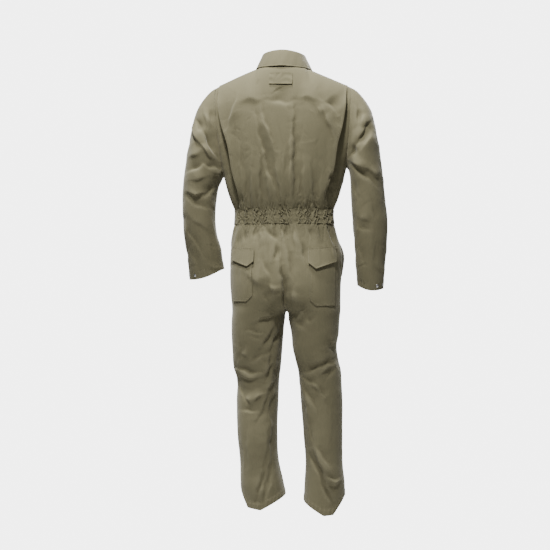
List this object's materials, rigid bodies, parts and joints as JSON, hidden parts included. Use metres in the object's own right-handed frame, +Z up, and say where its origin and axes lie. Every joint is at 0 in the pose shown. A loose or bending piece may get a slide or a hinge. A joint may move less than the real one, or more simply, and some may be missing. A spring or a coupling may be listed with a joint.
{
  "type": "boiler suit",
  "caption": "One-piece twill work garment in its worn shape, hollow, with a shirt collar, gathered waist, flapped back pockets and cuffs closed by press studs.",
  "frame": {"origin": "between the shoulders at the base of the neck, where the wearer's shoulders carry the garment", "axes": "+Z up, the wearer faces -Y, +X is the wearer's left"},
  "size_m": [0.7179, 0.2739, 1.5891],
  "materials": {
    "twill": "matte cotton twill, khaki",
    "stud_metal": "bright nickel-plated press studs"
  },
  "bodies": {
    "root": {"back_panel": "twill", "side_back_left": "twill", "side_back_right": "twill", "front_left": "twill", "front_right": "twill", "sleeve_left": "twill", "sleeve_right": "twill", "cuff_left": "twill", "cuff_right": "twill", "waistband_back": "twill", "waistband_front_left": "twill", "waistband_front_right": "twill", "leg_back_left": "twill", "leg_back_right": "twill", "leg_front_left": "twill", "leg_front_right": "twill", "back_pocket_left": "twill", "back_pocket_right": "twill", "pocket_flap_left": "twill", "pocket_flap_right": "twill", "side_pocket_left": "twill", "side_pocket_right": "twill", "placket": "twill", "collar_stand": "twill", "collar_fall": "twill", "neck_patch": "twill", "front_stud_1": "stud_metal", "front_stud_2": "stud_metal", "front_stud_3": "stud_metal", "front_stud_4": "stud_metal", "front_stud_5": "stud_metal", "front_stud_6": "stud_metal", "front_stud_7": "stud_metal", "cuff_stud_left_1": "stud_metal", "cuff_stud_left_2": "stud_metal", "cuff_stud_right_1": "stud_metal", "cuff_stud_right_2": "stud_metal"}
  },
  "joints": []
}
